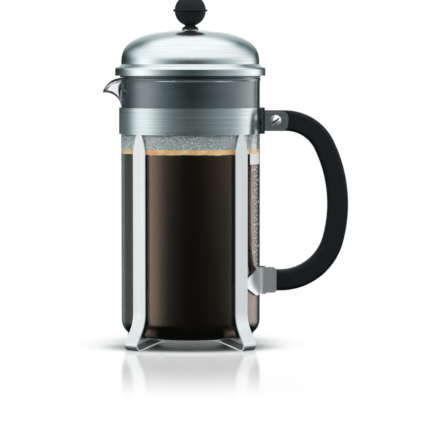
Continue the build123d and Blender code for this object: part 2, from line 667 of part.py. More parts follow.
parts = {
    "glass_beaker": make_glass_beaker(),
    "collar_band": make_collar_band(),
    "base_plate": make_base_plate(),
    "handle": make_handle(),
    "handle_bolt": make_handle_bolt(),
    "handle_nut": make_handle_nut(),
    "lid_dome": make_lid_dome(),
    "lid_liner": make_lid_liner(),
    "lid_bush": make_lid_bush(),
    "bush_nut": make_bush_nut(),
    "knob": make_knob(),
    "knob_insert": make_knob_insert(),
    "plunger_rod": make_plunger_rod(),
    "filter_hub": make_filter_hub(),
    "spiral_plate": make_spiral_plate(),
    "edge_spring": make_edge_spring(),
    "filter_mesh": make_filter_mesh(),
    "cross_plate": make_cross_plate(),
    "filter_nut": make_filter_nut(),
}
parts.update(make_legs())

for name, shape in parts.items():
    export_step(shape, f"parts/{name}.step")
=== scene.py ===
from math import cos, pi, radians, sin

import bmesh
import bpy
import numpy as np
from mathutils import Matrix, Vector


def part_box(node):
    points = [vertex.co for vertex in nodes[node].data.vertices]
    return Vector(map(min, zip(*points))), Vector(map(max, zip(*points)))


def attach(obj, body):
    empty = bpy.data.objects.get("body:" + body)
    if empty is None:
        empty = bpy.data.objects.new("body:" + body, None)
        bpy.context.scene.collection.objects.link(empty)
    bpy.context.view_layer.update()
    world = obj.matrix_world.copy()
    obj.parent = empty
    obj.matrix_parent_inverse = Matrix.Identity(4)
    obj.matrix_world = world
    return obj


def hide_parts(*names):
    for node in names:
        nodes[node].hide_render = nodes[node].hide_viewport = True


# French press for eight cups. Metres, +Z up, the handle on +X and the pouring lip on -X.

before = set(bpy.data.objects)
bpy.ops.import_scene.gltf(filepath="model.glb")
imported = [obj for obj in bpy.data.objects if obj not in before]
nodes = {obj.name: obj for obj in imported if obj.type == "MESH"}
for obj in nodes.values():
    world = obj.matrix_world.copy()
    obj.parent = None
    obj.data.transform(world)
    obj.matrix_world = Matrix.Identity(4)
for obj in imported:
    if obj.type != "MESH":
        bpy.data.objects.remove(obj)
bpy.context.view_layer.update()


# Camera --------------------------------------------------------------------------------------------
# A long lens a little above the collar's height, looking slightly down on the press.

EYE = (0.0, -1.653, 0.190)
LENS = 200.9
AIM = (0.017, 0.0, 0.0895)

camera = bpy.data.objects.new("camera", bpy.data.cameras.new("camera"))
camera.data.lens = LENS
camera.location = EYE
sight = [aim - eye for aim, eye in zip(AIM, EYE)]
camera.rotation_euler = (np.arctan2(sight[1], -sight[2]), 0, np.arctan2(-sight[0], sight[1]))
bpy.context.scene.collection.objects.link(camera)
bpy.context.scene.camera = camera
bpy.context.scene.view_settings.view_transform = "Standard"


# Studio --------------------------------------------------------------------------------------------
# The press stands on a white table. Soft light comes from all round, in three rings one above the
# other that are brightest at the sides, and from overhead. A white card stands far behind, and it is
# dark under the table.


class Wire:
    """A number or colour that leaves a shader node. Arithmetic on it adds Math nodes."""

    def __init__(self, shader, socket):
        self.shader = shader
        self.socket = socket

    def __add__(self, other):
        return self.shader.maths("ADD", self, other)

    def __radd__(self, other):
        return self.shader.maths("ADD", other, self)

    def __sub__(self, other):
        return self.shader.maths("SUBTRACT", self, other)

    def __rsub__(self, other):
        return self.shader.maths("SUBTRACT", other, self)

    def __mul__(self, other):
        return self.shader.maths("MULTIPLY", self, other)

    def __rmul__(self, other):
        return self.shader.maths("MULTIPLY", other, self)

    def __truediv__(self, other):
        return self.shader.maths("DIVIDE", self, other)


class Shader:
    """The nodes of one material or of the world."""

    def __init__(self, owner):
        self.owner = owner
        owner.use_nodes = True
        self.tree = owner.node_tree
        self.tree.nodes.clear()

    def node(self, kind, settings, sockets, output=0):
        """Adds a node of a type, with its settings first, then the values or wires of its sockets."""
        made = self.tree.nodes.new(kind)
        for name, value in settings.items():
            if name == "stops":
                ramp = made.color_ramp.elements
                for k, (place, grey) in enumerate(value):
                    stop = ramp[k] if k < 2 else ramp.new(place)
                    stop.position = place
                    stop.color = (grey, grey, grey, 1)
            elif name == "interpolation":
                made.color_ramp.interpolation = value
            else:
                setattr(made, name, value)
        for name, value in sockets.items():
            if isinstance(value, Wire):
                self.tree.links.new(value.socket, made.inputs[name])
            else:
                made.inputs[name].default_value = value
        return Wire(self, made.outputs[output]) if made.outputs else None

    def maths(self, operation, *values):
        """Math node on one or two numbers."""
        return self.node("ShaderNodeMath", {"operation": operation}, dict(enumerate(values)))

    def rise(self, value, low, high, shape="LINEAR"):
        """0 up to where the value is low, and 1 from where it is high."""
        sockets = {"Value": value, "From Min": low, "From Max": high}
        return self.node("ShaderNodeMapRange", {"interpolation_type": shape}, sockets)

    def ramp(self, value, stops, interpolation="B_SPLINE"):
        """Grey that goes through the stops, each a place from 0 to 1 and a brightness."""
        settings = {"stops": stops, "interpolation": interpolation}
        return self.node("ShaderNodeValToRGB", settings, {"Fac": value})

    def mix(self, share, first, second):
        """Colour between two colours."""
        return self.node("ShaderNodeMix", {"data_type": "RGBA"}, {0: share, 6: first, 7: second}, 2)

    def parts(self, vector):
        """The x, y and z of a vector."""
        return [self.node("ShaderNodeSeparateXYZ", {}, {0: vector}, k) for k in range(3)]

    def vector(self, x, y, z):
        """Vector of three numbers."""
        return self.node("ShaderNodeCombineXYZ", {}, {0: x, 1: y, 2: z})

    def place(self):
        """Where a point of the piece is, in metres."""
        return self.node("ShaderNodeTexCoord", {}, {}, "Object")

    def noise(self, place, scale, detail):
        """Random lumps, about so many to a metre, from 0 to 1."""
        return self.node("ShaderNodeTexNoise", {}, {"Vector": place, "Scale": scale, "Detail": detail})

    def bump(self, height, strength, distance):
        """Normal that leans as if the surface rose by the height times the distance."""
        sockets = {"Height": height, "Strength": strength, "Distance": distance}
        return self.node("ShaderNodeBump", {}, sockets)

    def surface(self, sockets):
        """Ends the material with one Principled surface and returns the material."""
        surface = self.node("ShaderNodeBsdfPrincipled", {}, sockets)
        self.node("ShaderNodeOutputMaterial", {}, {0: surface})
        return self.owner


# Each ring: degrees from the camera's side, positive towards the handle, and the brightness there.
TABLE_RING = (
    (-180, 0.02), (-160, 0.28), (-140, 0.36), (-122, 0.36), (-112, 0.50), (-102, 1.15), (-90, 1.45),
    (-74, 1.35), (-62, 0.95), (-50, 0.42), (-38, 0.10), (-12, 0.02), (12, 0.02), (35, 0.03), (62, 0.09),
    (76, 0.30), (88, 0.80), (100, 1.50), (114, 1.95), (134, 1.95), (146, 0.40), (156, 0.03), (180, 0.02),
)
LOW_RING = (
    (-180, 0.02), (-140, 0.02), (-122, 0.08), (-108, 0.50), (-96, 1.10), (-84, 1.32), (-72, 1.22),
    (-60, 0.90), (-47, 0.58), (-33, 0.28), (-15, 0.08), (0, 0.03), (15, 0.08), (32, 0.27), (50, 0.50),
    (66, 0.66), (82, 0.82), (96, 0.98), (112, 1.05), (126, 1.05), (136, 0.40), (144, 0.03), (180, 0.02),
)
HIGH_RING = (
    (-180, 0.66), (-166, 0.62), (-154, 0.32), (-145, 0.12), (-134, 0.22), (-120, 0.65), (-106, 1.00),
    (-60, 1.20), (0, 1.15), (60, 1.15), (106, 1.00), (120, 0.62), (134, 0.20), (145, 0.12),
    (154, 0.32), (166, 0.62), (180, 0.66),
)
RING_SCALE = 2.0
OVERHEAD = 1.2
BACKDROP = 1.0
UNDER = 0.02
DIM_TINT = (0.66, 0.97, 1.0)
CARD_EDGE = (168, 172)

# Where one light fades into the next, as the Z of a direction of length 1.
UNDER_FADE = (-0.34, -0.13)
LOW_FADE = (-0.036, -0.024)
HIGH_FADE = (0.06, 0.30)
OVERHEAD_FADE = (0.60, 0.85)
CARD_FOOT = (-0.17, -0.14)
CARD_TOP = (0.20, 0.34)


def make_world():
    """Brightness by direction: each ring is a ramp over the azimuth, and height mixes the rings.

    The camera itself sees an even white backdrop, and dim light is a little blue-green.
    """
    world = bpy.data.worlds.new("studio")
    bpy.context.scene.world = world
    s = Shader(world)
    direction = s.node("ShaderNodeTexCoord", {}, {}, 0)
    x, y, z = s.parts(direction)
    turn = s.maths("ARCTAN2", x, 0 - y) / (2 * pi) + 0.5
    rings = []
    for ring in (TABLE_RING, LOW_RING, HIGH_RING):
        stops = [((angle + 180) / 360, value / RING_SCALE) for angle, value in ring]
        rings.append(s.ramp(turn, stops) * RING_SCALE)
    light, *others = rings
    light = UNDER + (light - UNDER) * s.rise(z, *UNDER_FADE)
    for fade, above in zip((LOW_FADE, HIGH_FADE, OVERHEAD_FADE), (*others, OVERHEAD)):
        light = light + (above - light) * s.rise(z, *fade, "SMOOTHSTEP")
    away = s.maths("ABSOLUTE", turn - 0.5) * 360
    card = s.rise(away, *CARD_EDGE) * s.rise(z, *CARD_FOOT) * (1 - s.rise(z, *CARD_TOP))
    light = light + (BACKDROP - light) * card
    seen = s.node("ShaderNodeLightPath", {}, {}, "Is Camera Ray")
    strength = light + (BACKDROP - light) * seen
    colour = s.mix(s.rise(strength, 0, 1), (*DIM_TINT, 1), (1, 1, 1, 1))
    background = s.node("ShaderNodeBackground", {}, {"Color": colour, "Strength": strength})
    s.node("ShaderNodeOutputWorld", {}, {0: background})


make_world()

SOFT_BOXES = {"soft_box_left": (-0.9, -0.9, 1.0), "soft_box_right": (1.1, -0.6, 0.9)}
PRESS_MIDDLE = (0, 0, 0.1)
BOX_SIZE = 0.9
BOX_POWER = 9.0


def make_soft_boxes():
    """Two large soft lamps on matt surfaces only, turned to the middle of the press."""
    for name, place in SOFT_BOXES.items():
        lamp = bpy.data.objects.new(name, bpy.data.lights.new(name, "AREA"))
        lamp.data.size = BOX_SIZE
        lamp.data.energy = BOX_POWER
        lamp.location = place
        away = np.subtract(place, PRESS_MIDDLE)
        lamp.rotation_euler = (np.arctan2(np.hypot(*away[:2]), away[2]), 0, np.arctan2(away[0], -away[1]))
        lamp.visible_glossy = False
        lamp.visible_camera = False
        bpy.context.scene.collection.objects.link(lamp)


make_soft_boxes()

DOUBLES_WITHIN = 1e-7


def to_mesh(name, vertices, faces, sharp=40):
    """Mesh object from vertices and faces, doubles merged and its faces turned outwards."""
    mesh = bpy.data.meshes.new(name)
    mesh.from_pydata(vertices, [], faces)
    work = bmesh.new()
    work.from_mesh(mesh)
    bmesh.ops.remove_doubles(work, verts=work.verts, dist=DOUBLES_WITHIN)
    bmesh.ops.recalc_face_normals(work, faces=work.faces)
    work.to_mesh(mesh)
    work.free()
    mesh.shade_smooth()
    mesh.set_sharp_from_angle(angle=radians(sharp))
    made = bpy.data.objects.new(name, mesh)
    bpy.context.scene.collection.objects.link(made)
    return made


def skin(name, grids, ends, sharp=40):
    """Closed skins over grids of points of one size, whose columns join in a ring.

    With ends "ring" the rows join in a ring too. With "poles" the first and the last row are each
    one point, and with "caps" each is closed by a flat face.
    """
    grids = np.asarray(grids)
    count, rows, columns = (1, *grids.shape)[-4:-1]
    index = np.arange(count * rows * columns).reshape(count, rows, columns)
    beside = np.roll(index, -1, axis=2)
    after = np.roll(index, -1, axis=1)
    beyond = np.roll(beside, -1, axis=1)
    last = rows if ends == "ring" else rows - 1
    faces = np.stack([index, beside, beyond, after], axis=3)[:, :last].reshape(-1, 4).tolist()
    if ends == "caps":
        faces += index[:, 0].tolist() + index[:, -1].tolist()
    return to_mesh(name, grids.reshape(-1, 3).tolist(), faces, sharp)


def spin(profile, columns=192):
    """Profile of radius and height turned about Z: x = r cos a, y = r sin a, z = height."""
    profile = np.asarray(profile, float)
    turn = np.linspace(0, 2 * pi, columns, endpoint=False)
    radius = profile[:, :1]
    height = np.repeat(profile[:, 1:], columns, axis=1)
    return np.stack([radius * np.cos(turn), radius * np.sin(turn), height], axis=2)


def give(thing, finish, body=None, stands_for=()):
    """Puts a finish on a piece and hangs the piece on its body."""
    thing.data.materials.clear()
    thing.data.materials.append(finish)
    if body:
        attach(thing, body)
    if stands_for:
        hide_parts(*stands_for)


# The fades are distances from the axis: the shade ends, the matt top gives way to even white, and the
# mirror image gets clearer and then ends.
FLOOR_REACH = 0.3
FLOOR_SIDES = 96
FLOOR_WHITE = (0.85, 0.86, 0.86)
FLOOR_SHADE = (0.035, 0.055, 0.056)
SHADE_CENTRE_Y = -0.022
SHADE_NARROWED = 2.0
SHADE_FADE = (0.030, 0.078)
PALE_FADE = (0.045, 0.090)
MIRROR_NEAR = 0.12
MIRROR_FAR = 0.40
MIRROR_FADE = (0.050, 0.080)
MIRROR_END = (0.13, 0.29)


def floor_finish():
    """Pale polished table: its shade and its mirror image fade away from the object into even white."""
    s = Shader(bpy.data.materials.new("table_white"))
    x, y, z = s.parts(s.place())
    away = s.maths("SQRT", x * x + y * y)
    deep = (y - SHADE_CENTRE_Y) * SHADE_NARROWED
    aside = s.maths("SQRT", x * x + deep * deep)
    fades = []
    for place, fade in (
        (aside, SHADE_FADE), (away, PALE_FADE), (away, MIRROR_FADE), (away, MIRROR_END),
    ):
        fades.append(s.rise(place, *fade, "SMOOTHSTEP"))
    open_floor, even, clearer, gone = fades
    matt = s.node("ShaderNodeBsdfPrincipled", {}, {
        "Base Color": s.mix(open_floor, (*FLOOR_SHADE, 1), (*FLOOR_WHITE, 1)),
        "Roughness": 0.5,
        "Specular IOR Level": 0.2,
    })
    light = s.node("ShaderNodeEmission", {}, {"Color": (1, 1, 1, 1), "Strength": BACKDROP})
    table = s.node("ShaderNodeMixShader", {}, {0: even, 1: matt, 2: light})
    mirror = s.node("ShaderNodeBsdfAnisotropic", {}, {"Color": (1, 1, 1, 1), "Roughness": 0.12})
    share = (MIRROR_NEAR + (MIRROR_FAR - MIRROR_NEAR) * clearer) * (1 - gone)
    surface = s.node("ShaderNodeMixShader", {}, {0: share, 1: table, 2: mirror})
    s.node("ShaderNodeOutputMaterial", {}, {0: surface})
    return s.owner


def make_floor():
    """Round table top, one flat face. It is only seen: no light bounces from it onto the press."""
    rim = spin([(FLOOR_REACH, 0)], FLOOR_SIDES)[0]
    floor = to_mesh("floor", rim.tolist(), [list(range(FLOOR_SIDES))])
    give(floor, floor_finish())
    floor.visible_glossy = False
    floor.visible_transmission = False
    floor.visible_diffuse = False


make_floor()


# Glass beaker --------------------------------------------------------------------------------------
# One piece of borosilicate glass, blown thin, with a fire-polished bead round its rim. Its pouring lip
# was drawn out and down from the rim while the glass was soft.

MM = 0.001
RIM_PROUD = 0.5 * MM
RIM_R = 1.35 * MM
WALL = 2.0 * MM
GLASS_FLOOR = 2.4 * MM
GLASS_CORNER_R = 11.0 * MM
LIP_DEPTH = 19.2 * MM
LIP_DROP = 8.2 * MM
LIP_SPREAD = radians(30)
LIP_SHARPNESS = 5
LIP_DEPTH_POWER = 0.4
LIP_DROP_POWER = 3
LIP_THINNED = 0.35
LIP_MARGIN = 2.0 * MM
RIM_RISE = 1.2 * MM
GLASS_COLUMNS = 240

glass_low, glass_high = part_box("glass_beaker")
RIM_Z = glass_high.z
SEAT_Z = glass_low.z
GLASS_R = glass_high.x - RIM_PROUD
GLASS_IN_R = GLASS_R - WALL
FLOOR_Z = SEAT_Z + GLASS_FLOOR


def smooth(x):
    """Smooth step from 0 to 1."""
    x = np.clip(x, 0, 1)
    return x * x * (3 - 2 * x)


def arc(centre, radius, start, end, steps):
    """Points of an arc in the plane of radius and height, angles in degrees from +radius."""
    turn = np.radians(np.linspace(start, end, steps))
    return np.stack([centre[0] + radius * np.cos(turn), centre[1] + radius * np.sin(turn)], axis=1)


def line(start, end, steps):
    """Points of a straight run, without its last point."""
    share = np.linspace(0, 1, steps, endpoint=False)[:, None]
    return np.asarray(start) * (1 - share) + np.asarray(end) * share


def make_beaker():
    """Wall of varying thickness about a middle surface.

    The middle surface is a turned profile. Near the lip, a point at share t of the lip's depth moves
    out by reach * (1 - cos(t pi/2)) and sits at depth - (depth - drop) * sin(t pi/2) below the rim,
    where reach, depth and drop fade with the angle from the lip's middle, and the wall gets thinner
    towards it.
    """
    turn_r = GLASS_CORNER_R - WALL / 2
    flat_r = GLASS_R - GLASS_CORNER_R
    flat_z = SEAT_Z + GLASS_FLOOR / 2
    wall_r = GLASS_R - WALL / 2
    end_z = RIM_Z - RIM_R
    lip_z = end_z - LIP_DEPTH - LIP_MARGIN
    middle = np.concatenate([
        line((0, flat_z), (flat_r, flat_z), 10),
        arc((flat_r, flat_z + turn_r), turn_r, -90, 0, 14)[:-1],
        line((wall_r, flat_z + turn_r), (wall_r, lip_z), 12),
        line((wall_r, lip_z), (wall_r, end_z), 44),
        [(wall_r, end_z)],
    ])
    along = np.concatenate([[0], np.cumsum(np.hypot(*np.diff(middle, axis=0).T))])
    turn = np.linspace(0, 2 * pi, GLASS_COLUMNS, endpoint=False)
    height = middle[:, 1:]
    bead = smooth((height - (end_z - RIM_RISE)) / RIM_RISE)
    radius = middle[:, :1] + bead * (RIM_PROUD - (RIM_R - WALL / 2))
    off_lip = np.abs(turn - pi)
    fade = np.clip(1 - (off_lip / LIP_SPREAD) ** 2, 0, 1) ** LIP_SHARPNESS
    reach = (-glass_low.x - GLASS_R - RIM_PROUD) * fade
    depth = LIP_DEPTH * np.maximum(fade, 1e-9) ** LIP_DEPTH_POWER
    drop = LIP_DROP * fade ** LIP_DROP_POWER
    share = np.clip(1 - (end_z - height) / depth, 0, 1)
    out = reach * (1 - np.cos(share * pi / 2))
    low = depth - (depth - drop) * np.sin(share * pi / 2)
    level = np.where(share > 0, end_z - low, height)
    spread = radius + out
    surface = np.stack([spread * np.cos(turn), spread * np.sin(turn), level], axis=2)
    sideways = np.roll(surface, -1, axis=1) - np.roll(surface, 1, axis=1)
    upwards = np.gradient(surface, along, axis=0)
    outwards = np.cross(sideways, upwards)
    outwards[0] = (0, 0, -1)
    outwards /= np.linalg.norm(outwards, axis=2, keepdims=True)
    upwards /= np.linalg.norm(upwards, axis=2, keepdims=True)
    half = np.interp(height, [flat_z, flat_z + turn_r], [GLASS_FLOOR / 2, WALL / 2])
    thin = (1 - LIP_THINNED * fade)[:, None]
    half = (half + bead * (RIM_R - WALL / 2))[:, :, None] * thin
    roll = np.radians(np.linspace(0, 180, 13))[1:-1, None, None]
    rim = surface[-1] + RIM_R * thin * (np.cos(roll) * outwards[-1] + np.sin(roll) * upwards[-1])
    grid = np.concatenate([surface + half * outwards, rim, (surface - half * outwards)[::-1]])
    return skin("beaker", grid, "poles", 180)


def glass_finish():
    """Clear glass with a few faint ripples from the drawing."""
    s = Shader(bpy.data.materials.new("beaker_glass_clear"))
    place = s.place()
    ripple = s.noise(place, 22, 1)
    bump = s.bump(ripple, 0.06, 0.002)
    return s.surface({
        "Base Color": (0.985, 0.995, 0.993, 1),
        "Transmission Weight": 1.0,
        "Roughness": 0.0,
        "IOR": 1.47,
        "Normal": bump,
    })


give(make_beaker(), glass_finish(), "beaker", ["glass_beaker"])


# Coffee and its foam -------------------------------------------------------------------------------
# Black coffee fills the beaker to four fifths, and a thin layer of golden foam floats on it. Both wet
# the glass, so each reaches a hair's breadth into its wall.

WET = 0.03 * MM
FOAM_WET = 1.6 * WET
COFFEE_Z = 132.4 * MM
FOAM_TOP_Z = 135.6 * MM
FOAM_COLUMNS = 256
FOAM_RAGGED = 0.45 * MM
FOAM_WAVES = ((7, 0.3), (19, 1.7), (43, 4.1), (71, 2.2))
BUBBLE_HEIGHT = 0.25 * MM


def make_coffee():
    """Solid that fills the beaker's inside: flat floor, corner arc, straight side, flat top."""
    side_r = GLASS_IN_R + WET
    corner_r = GLASS_CORNER_R - WALL
    base_z = FLOOR_Z - WET
    profile = np.concatenate([
        [(0, base_z)],
        arc((side_r - corner_r, base_z + corner_r), corner_r, -90, 0, 14),
        line((side_r, base_z + corner_r), (side_r, COFFEE_Z), 8)[1:],
        [(side_r, COFFEE_Z), (0, COFFEE_Z)],
    ])
    return skin("coffee", spin(profile), "poles")


def coffee_finish():
    """Nearly black brown liquid, a little paler in slow clouds."""
    s = Shader(bpy.data.materials.new("coffee_brown"))
    place = s.place()
    cloud = s.noise(place, 30, 2)
    colour = s.mix(cloud, (0.0022, 0.0018, 0.0016, 1), (0.0040, 0.0030, 0.0024, 1))
    return s.surface({
        "Base Color": colour,
        "Roughness": 0.13,
        "IOR": 2.2,
        "Specular Tint": (1.0, 0.62, 0.40, 1),
    })


def make_foam():
    """Slab with bubbles in its top and a ragged lower edge.

    The edge's height is a sum of sine waves round the glass, each given by its count and its shift. The
    top is a wave outwards times a wave round, and flat at the middle and at the glass.
    """
    turn = np.linspace(0, 2 * pi, FOAM_COLUMNS, endpoint=False)
    waves = enumerate(FOAM_WAVES, start=2)
    ragged = FOAM_RAGGED * sum(np.sin(count * turn + shift) / k for k, (count, shift) in waves)
    side_r = GLASS_IN_R + FOAM_WET
    across = np.linspace(0, 1, 40)[:, None]
    outwards = np.sin(6100 * across * side_r + 3 * np.sin(5 * turn))
    around = np.sin(23 * turn + 40 * across)
    top = FOAM_TOP_Z + BUBBLE_HEIGHT * outwards * around * (1 - across ** 8) * across
    zero = np.zeros_like(turn)
    radius = np.concatenate([[zero], [zero + side_r], across[::-1] * side_r + zero])
    height = np.concatenate([[zero + COFFEE_Z - MM], [COFFEE_Z + ragged], top[::-1]])
    grid = np.stack([radius * np.cos(turn), radius * np.sin(turn), height], axis=2)
    return skin("foam", grid, "poles")


def foam_finish():
    """Golden foam, pale where the bubbles are fine, orange where thin, with a painted glow of its colour.
    """
    s = Shader(bpy.data.materials.new("coffee_foam"))
    place = s.place()
    patch = s.noise(place, 170, 4)
    bubble = s.node("ShaderNodeTexVoronoi", {}, {"Vector": place, "Scale": 900})
    share = s.ramp(patch, [(0.36, 0.0), (0.62, 1.0)])
    colour = s.mix(share, (0.86, 0.45, 0.13, 1), (1.0, 0.80, 0.47, 1))
    bump = s.bump(bubble, 0.5, 0.0004)
    return s.surface({
        "Base Color": colour,
        "Roughness": 0.55,
        # Painted light: the foam glows a little in its own colour.
        "Emission Color": colour,
        "Emission Strength": 0.22,
        "Normal": bump,
    })


give(make_coffee(), coffee_finish(), "beaker")
give(make_foam(), foam_finish(), "beaker")


# Steam on the glass --------------------------------------------------------------------------------
# Above the foam the inside of the glass is misted, and the mist has run together into small beads.

MIST_TOP_Z = 161.0 * MM
MIST_THICK = 0.08 * MM
BEAD_COUNT = 5200
BEAD_LENGTH = (0.16 * MM, 0.34 * MM)
BEAD_WIDTH = (0.12 * MM, 0.24 * MM)
BEADS_TOP_Z = 148.0 * MM
BEAD_SIDES = 6
BEAD_SUNK = 0.4


def make_mist():
    """Film inside the wall: a thin closed ring from the foam up to the lid's skirt."""
    outer = GLASS_IN_R - MIST_THICK / 4
    inner = outer - MIST_THICK
    low, high = FOAM_TOP_Z, MIST_TOP_Z
    return skin("mist", spin([(outer, low), (outer, high), (inner, high), (inner, low)]), "ring")


def make_water_beads():
    """Flat beads on the glass, turned at random in its surface and sunk a little into it.

    At height angle e and side angle t a bead's point is length cos e cos t along it, width cos e sin t
    across it and width sin e into the beaker, or less of it into the glass.
    """
    dice = np.random.default_rng(7)
    at = dice.uniform(0, 2 * pi, BEAD_COUNT)
    level = dice.uniform(FOAM_TOP_Z, BEADS_TOP_Z, BEAD_COUNT)
    length = dice.uniform(*BEAD_LENGTH, BEAD_COUNT)
    width = dice.uniform(*BEAD_WIDTH, BEAD_COUNT)
    lean = dice.uniform(0, pi, BEAD_COUNT)[:, None, None]
    up = np.radians([-90, -40, 0, 40, 90])[None, :, None]
    side = np.linspace(0, 2 * pi, BEAD_SIDES, endpoint=False)[None, None, :]
    along = length[:, None, None] * np.cos(up) * np.cos(side)
    across = width[:, None, None] * np.cos(up) * np.sin(side)
    inwards = width[:, None, None] * np.where(up < 0, BEAD_SUNK, 1) * np.sin(up) * np.ones_like(side)
    turn = at[:, None, None] + (along * np.cos(lean) - across * np.sin(lean)) / GLASS_IN_R
    height = level[:, None, None] + along * np.sin(lean) + across * np.cos(lean)
    radius = GLASS_IN_R - inwards
    grids = np.stack([radius * np.cos(turn), radius * np.sin(turn), height], axis=3)
    return skin("water_beads", grids, "poles")


def mist_finish():
    """Fine grey mist, thinner in patches."""
    s = Shader(bpy.data.materials.new("steam_mist"))
    place = s.place()
    patch = s.noise(place, 90, 4)
    grain = s.noise(place, 1500, 2)
    colour = s.mix(grain, (0.17, 0.225, 0.235, 1), (0.74, 0.85, 0.86, 1))
    return s.surface({
        "Base Color": colour,
        "Roughness": 0.6,
        "Alpha": 0.78 + 0.3 * patch,
    })


def water_finish():
    """Beads of water with a real shine, made brighter by a painted glow of their own colour."""
    s = Shader(bpy.data.materials.new("water_beads"))
    place = s.place()
    change = s.noise(place, 700, 1)
    colour = s.mix(s.ramp(change, [(0.4, 0), (0.6, 1)]), (0.55, 0.62, 0.63, 1), (0.98, 1.0, 1.0, 1))
    return s.surface({
        "Base Color": colour,
        "Roughness": 0.2,
        # Painted light: the beads glow in their own colour so that they look brighter.
        "Emission Color": colour,
        "Emission Strength": 0.5,
    })


give(make_mist(), mist_finish(), "beaker")
give(make_water_beads(), water_finish(), "beaker")


# Scale ---------------------------------------------------------------------------------------------
# White enamel printed and fired on the outside of the glass, beside the handle. Under a blank panel
# are litres on one side and cups on the other, each line at the height where that much coffee stands.

ENAMEL = 0.06 * MM
SCALE_TURN = radians(-21.0)
LITRE = 0.001
TICK_HEIGHT = 0.62 * MM
TICKS_APART = 1.2 * MM
LITRE_TICKS = (2.6 * MM, 1.5 * MM)
LITRE_STEP = 0.020
LITRES = (0.300, 0.780)
TENTHS = (3, 4, 5, 6, 7)
CUP_TICKS = (3.0 * MM, 1.8 * MM)
CUP = 0.125
CUP_STEP = 0.25
CUPS = (3, 4, 5, 6)
FIGURE_SIZE = 3.0 * MM
FIGURE_ASIDE = 6.0 * MM
PLATE_TOP_Z = 132.6 * MM
PLATE_LOW_Z = 125.2 * MM
PLATE_HALF = 9.6 * MM


def level_of(litres):
    """Height at which the beaker holds this much: the volume over the area inside the glass."""
    return FLOOR_Z + litres * LITRE / (pi * GLASS_IN_R ** 2)


def enamel_bar(start, end, low, high):
    """Grid of a thin bar on the glass between two places across it and two heights."""
    across = SCALE_TURN + np.linspace(start, end, 9)[:, None] / GLASS_R
    radius = np.array([[-1, 1, 1, -1]]) * ENAMEL + GLASS_R
    height = np.array([[low, low, high, high]]) * np.ones_like(across)
    return np.stack([radius * np.cos(across), radius * np.sin(across), height], axis=2)


def make_ticks():
    """Lines every 20 ml, long ones every 100 ml, and for quarter cups, long ones for whole cups."""
    bars = []
    half = TICK_HEIGHT / 2
    count = round((LITRES[1] - LITRES[0]) / LITRE_STEP)
    for k in range(count + 1):
        litres = LITRES[0] + k * LITRE_STEP
        z = level_of(litres)
        long, short = LITRE_TICKS
        reach = long if round(litres / LITRE_STEP) % 5 == 0 else short
        bars.append(enamel_bar(TICKS_APART, TICKS_APART + reach, z - half, z + half))
    for cup in np.arange(CUPS[0], CUPS[-1] + CUP_STEP, CUP_STEP):
        z = level_of(cup * CUP)
        long, short = CUP_TICKS
        reach = long if cup == round(cup) else short
        bars.append(enamel_bar(-TICKS_APART - reach, -TICKS_APART, z - half, z + half))
    return skin("scale_lines", bars, "caps", 30)


def make_figure(name, text, across, level):
    """A number as thin solid letters, bent round the glass: x becomes an angle and z a radius."""
    curve = bpy.data.curves.new(name, "FONT")
    curve.body = text
    curve.size = FIGURE_SIZE
    curve.extrude = ENAMEL
    curve.align_x = "CENTER"
    curve.align_y = "CENTER"
    flat = bpy.data.objects.new(name, curve)
    bpy.context.scene.collection.objects.link(flat)
    bpy.context.view_layer.update()
    mesh = bpy.data.meshes.new_from_object(flat.evaluated_get(bpy.context.evaluated_depsgraph_get()))
    bpy.data.objects.remove(flat)
    points = np.zeros(len(mesh.vertices) * 3)
    mesh.vertices.foreach_get("co", points)
    x, y, z = points.reshape(-1, 3).T
    turn = SCALE_TURN + (across + x) / GLASS_R
    bent = np.stack([(GLASS_R + z) * np.cos(turn), (GLASS_R + z) * np.sin(turn), level + y], axis=1)
    faces = [list(face.vertices) for face in mesh.polygons]
    return to_mesh(name, bent.tolist(), faces, 30)


def enamel_finish():
    """White fired enamel, slightly uneven."""
    s = Shader(bpy.data.materials.new("white_enamel"))
    place = s.place()
    spot = s.noise(place, 1200, 2)
    return s.surface({
        "Base Color": s.mix(spot, (0.80, 0.79, 0.77, 1), (0.95, 0.95, 0.94, 1)),
        "Roughness": 0.35,
    })


enamel_white = enamel_finish()
give(make_ticks(), enamel_white, "beaker")
plate = skin("scale_plate", enamel_bar(-PLATE_HALF, PLATE_HALF, PLATE_LOW_Z, PLATE_TOP_Z), "caps", 30)
give(plate, enamel_white, "beaker")
for tenths in TENTHS:
    figure = make_figure(f"litre_figure_{tenths}", f".{tenths}", FIGURE_ASIDE, level_of(tenths / 10))
    give(figure, enamel_white, "beaker")
for cup in CUPS:
    figure = make_figure(f"cup_figure_{cup}", str(cup), -FIGURE_ASIDE, level_of(cup * CUP))
    give(figure, enamel_white, "beaker")


# Frame steel ---------------------------------------------------------------------------------------
# The collar band, the four legs and the base plate are 0.8 and 1.0 mm stainless sheet, brushed before
# they were cut and spot welded to each other.

STREAK = 0.86
CLOUDS = 14
# Painted shade at the collar's tight bends: the width of its soft edge, its colour, and where it lies
# along X.
BEND_SHADE_FADE = 0.5 * MM
BEND_PAINTED_SHADE = (0.075, 0.095, 0.098, 1)
COLLAR_BEND_SHADE = (45.6 * MM, 50.9 * MM)
BAND_FINISH = ((0.66, 0.735, 0.74), 0.23, (14, 14, 1100), 0.06, 0.4)


